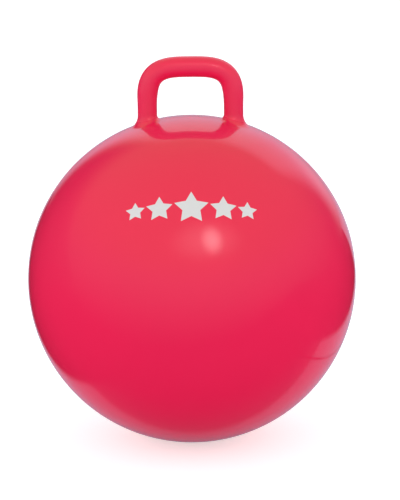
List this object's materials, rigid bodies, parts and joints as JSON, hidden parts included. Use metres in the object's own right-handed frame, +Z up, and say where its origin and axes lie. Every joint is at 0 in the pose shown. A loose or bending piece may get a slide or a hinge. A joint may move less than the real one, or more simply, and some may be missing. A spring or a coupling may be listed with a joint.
{
  "type": "hopper ball",
  "caption": "Blown-up vinyl hopper ball with a hollow loop handle moulded on its crown and a plugged air valve in the middle of its back.",
  "frame": {"origin": "middle of the flat that the ball rests on, straight under the ball's centre", "axes": "+Z up through the crown and the middle of the handle, +X along the grip bar, front towards -Y, valve towards +Y"},
  "size_m": [0.4498, 0.4499, 0.5296],
  "materials": {
    "skin_vinyl": "gloss",
    "seat_vinyl": "satin",
    "plug_plastic": "satin"
  },
  "bodies": {
    "ball": {"ball_skin": "skin_vinyl", "handle_loop": "skin_vinyl", "valve_seat": "seat_vinyl"},
    "plug": {"valve_plug": "plug_plastic"}
  },
  "joints": [
    {"name": "plug_pull", "type": "slide", "parent": "ball", "child": "plug", "axis": [0, 1, 0], "range_m": [0, 0.025]}
  ]
}
